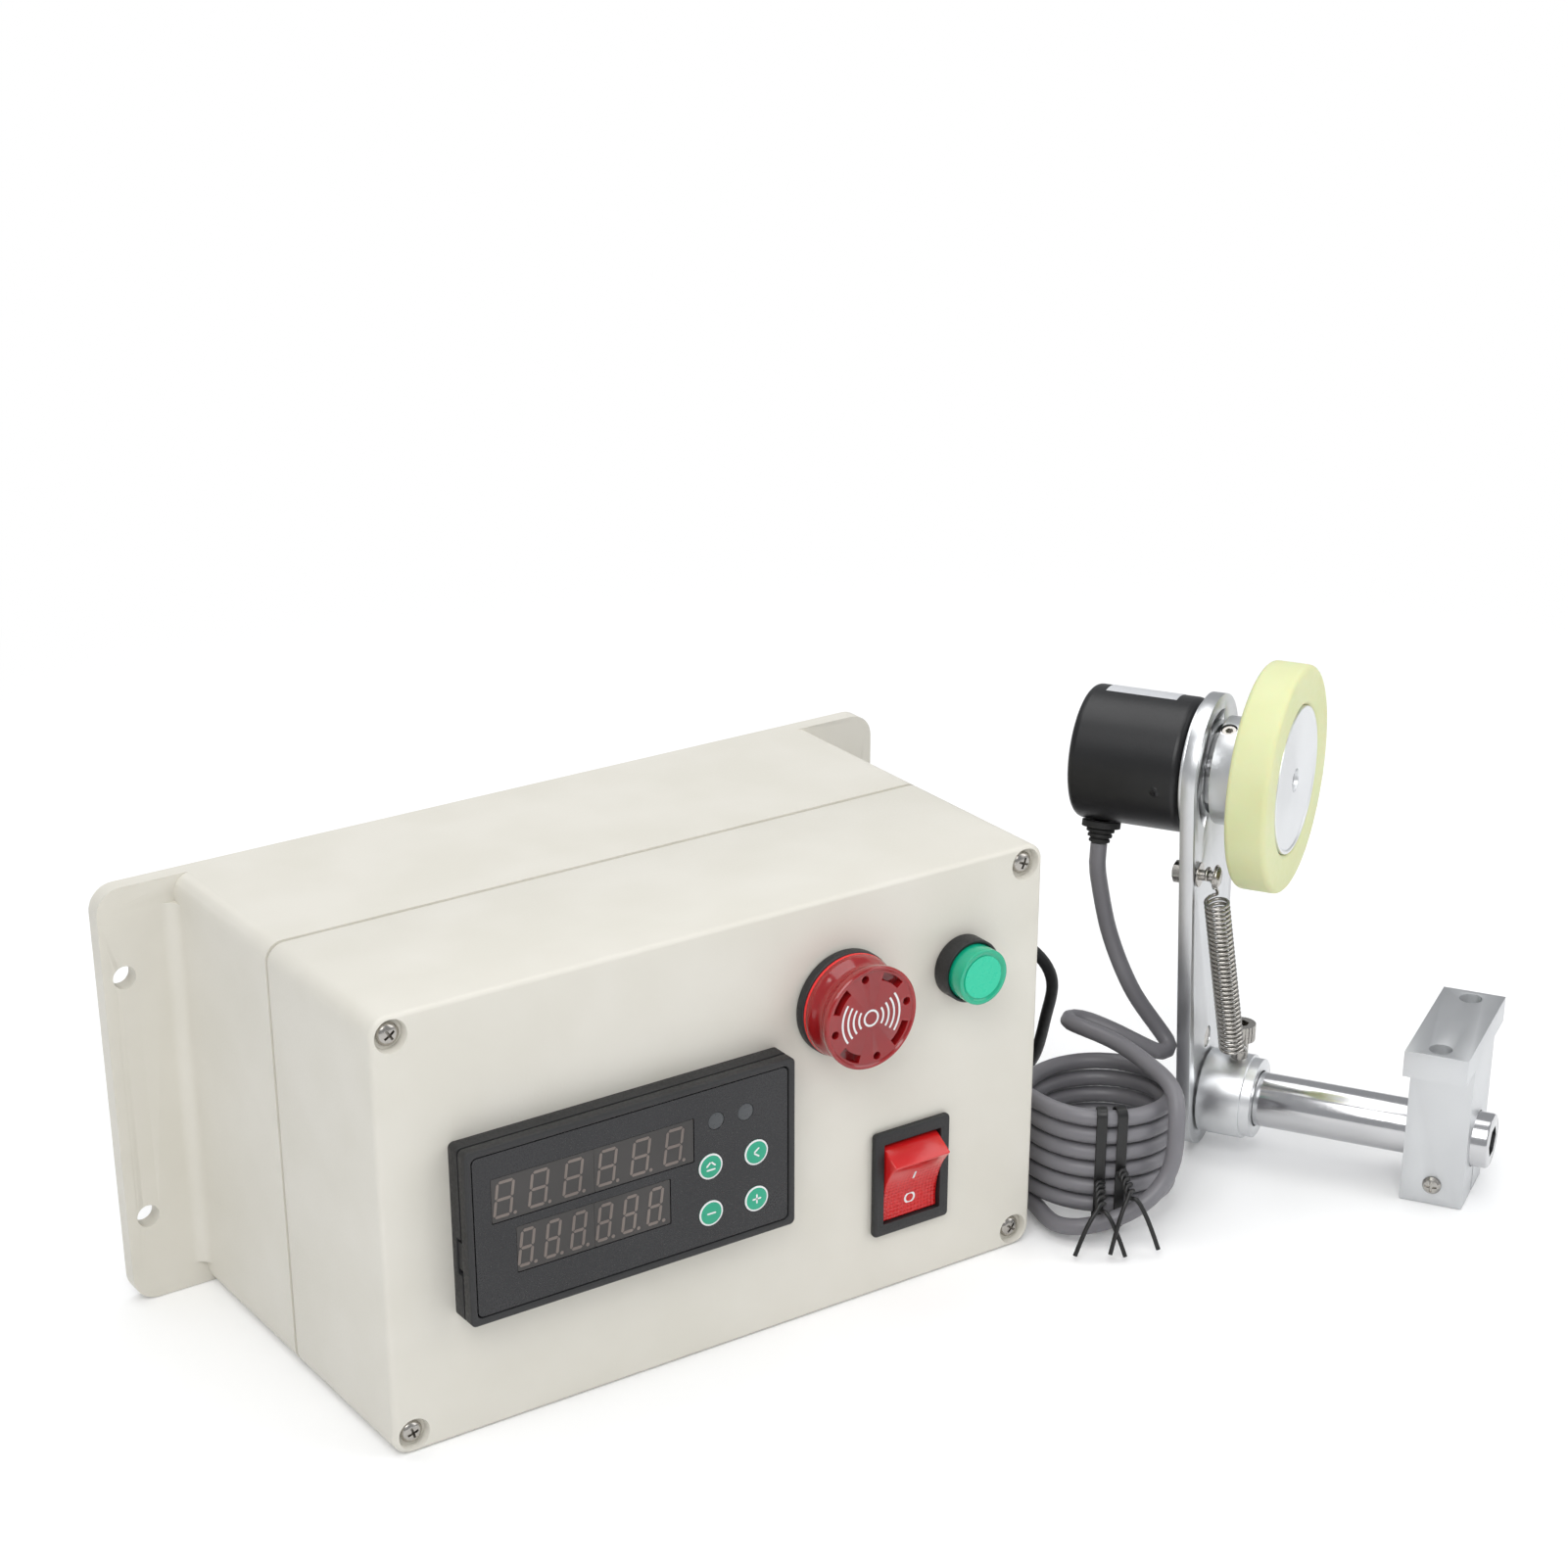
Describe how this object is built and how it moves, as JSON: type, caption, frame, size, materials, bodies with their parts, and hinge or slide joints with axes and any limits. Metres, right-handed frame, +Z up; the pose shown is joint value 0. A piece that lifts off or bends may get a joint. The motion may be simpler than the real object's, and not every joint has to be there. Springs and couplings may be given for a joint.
{
  "type": "digital length counter",
  "caption": "Wall box with a panel counter, buzzer, reset button and power rocker, joined by a coiled cable to a rotary encoder with a measuring wheel on a spring-loaded swing arm",
  "frame": {"origin": "underside of the wall box at the middle of its width and depth, on the surface that the box stands on", "axes": "+X right along the front panel, +Y back to the wall side, +Z up"},
  "size_m": [0.3648, 0.199, 0.1528],
  "materials": {
    "box_plastic": "moulded, satin",
    "circuit_board": "green laminate",
    "black_plastic": "moulded, matt",
    "gloss_black": "gloss black",
    "display_window": "smoked window",
    "red_lens": "translucent red",
    "green_keys": "printed sheet",
    "green_cap": "translucent green",
    "black_sheath": "smooth sheath",
    "tie_rubber": "matt black",
    "grey_sheath": "smooth sheath",
    "satin_aluminium": "turned and brushed",
    "polished_steel": "ground and polished",
    "screw_steel": "bright plated",
    "encoder_black": "black powder coat",
    "tyre_polyurethane": "pale yellow green, matt"
  },
  "bodies": {
    "stand": {"enclosure_base": "box_plastic", "enclosure_cover": "box_plastic", "power_board": "circuit_board", "meter_board": "circuit_board", "meter_housing": "black_plastic", "meter_bezel": "black_plastic", "meter_front_frame": "black_plastic", "meter_clip_left": "black_plastic", "meter_clip_right": "black_plastic", "meter_overlay": "gloss_black", "display_upper": "display_window", "display_lower": "display_window", "alarm_led_1": "display_window", "alarm_led_2": "display_window", "buzzer_body": "black_plastic", "buzzer_lens": "red_lens", "buzzer_nut": "black_plastic", "reset_body": "black_plastic", "reset_nut": "black_plastic", "switch_frame": "gloss_black", "signal_gland": "black_plastic", "power_gland": "black_plastic", "power_cord": "black_sheath", "power_cord_coil": "black_sheath", "power_cord_tail": "black_sheath", "power_plug": "black_plastic", "power_cord_tie": "tie_rubber", "cable_tie_1": "tie_rubber", "cable_tie_2": "tie_rubber", "encoder_cable_coil": "grey_sheath", "encoder_cable_tail": "grey_sheath", "mount_block": "satin_aluminium", "spring_collar": "satin_aluminium", "support_shaft": "polished_steel", "block_clamp_screw": "screw_steel", "collar_screw": "screw_steel", "cover_screw_1": "screw_steel", "cover_screw_2": "screw_steel", "cover_screw_3": "screw_steel", "cover_screw_4": "screw_steel"},
    "arm": {"swing_arm": "satin_aluminium", "arm_bush": "screw_steel", "arm_lock_screw": "screw_steel", "spring_post": "screw_steel", "encoder_flange": "satin_aluminium", "encoder_housing": "encoder_black", "cable_grommet": "tie_rubber", "extension_spring": "screw_steel", "encoder_cable_lead": "grey_sheath"},
    "wheel": {"wheel_hub": "satin_aluminium", "hub_grub_screw": "screw_steel", "wheel_tyre": "tyre_polyurethane", "encoder_shaft": "polished_steel"},
    "reset_cap": {"reset_cap": "green_cap"},
    "rocker": {"rocker": "red_lens"},
    "key_1": {"key_1": "green_keys"},
    "key_2": {"key_2": "green_keys"},
    "key_3": {"key_3": "green_keys"},
    "key_4": {"key_4": "green_keys"}
  },
  "joints": [
    {"name": "arm_swing", "type": "hinge", "parent": "stand", "child": "arm", "pos_m": [0.17854, -0.03436, 0.0172], "axis": [0.5299, -0.848, 0], "range_deg": [-20, 15], "stiffness_Nm_per_rad": 2, "deforming": ["extension_spring", "encoder_cable_lead"]},
    {"name": "wheel_spin", "type": "hinge", "parent": "arm", "child": "wheel", "pos_m": [0.18429, -0.0626, 0.12111], "axis": [0.5299, -0.848, 0], "continuous": true},
    {"name": "reset_press", "type": "slide", "parent": "stand", "child": "reset_cap", "axis": [0, 1, 0], "range_m": [0, 0.003], "stiffness_N_per_m": 500},
    {"name": "rocker_tip", "type": "hinge", "parent": "stand", "child": "rocker", "pos_m": [0.0574, -0.053, 0.0336], "axis": [-1, 0, 0], "range_deg": [0, 36]},
    {"name": "key_1_press", "type": "slide", "parent": "stand", "child": "key_1", "axis": [0, 1, 0], "range_m": [0, 0.0004], "stiffness_N_per_m": 1500},
    {"name": "key_2_press", "type": "slide", "parent": "stand", "child": "key_2", "axis": [0, 1, 0], "range_m": [0, 0.0004], "stiffness_N_per_m": 1500},
    {"name": "key_3_press", "type": "slide", "parent": "stand", "child": "key_3", "axis": [0, 1, 0], "range_m": [0, 0.0004], "stiffness_N_per_m": 1500},
    {"name": "key_4_press", "type": "slide", "parent": "stand", "child": "key_4", "axis": [0, 1, 0], "range_m": [0, 0.0004], "stiffness_N_per_m": 1500}
  ]
}
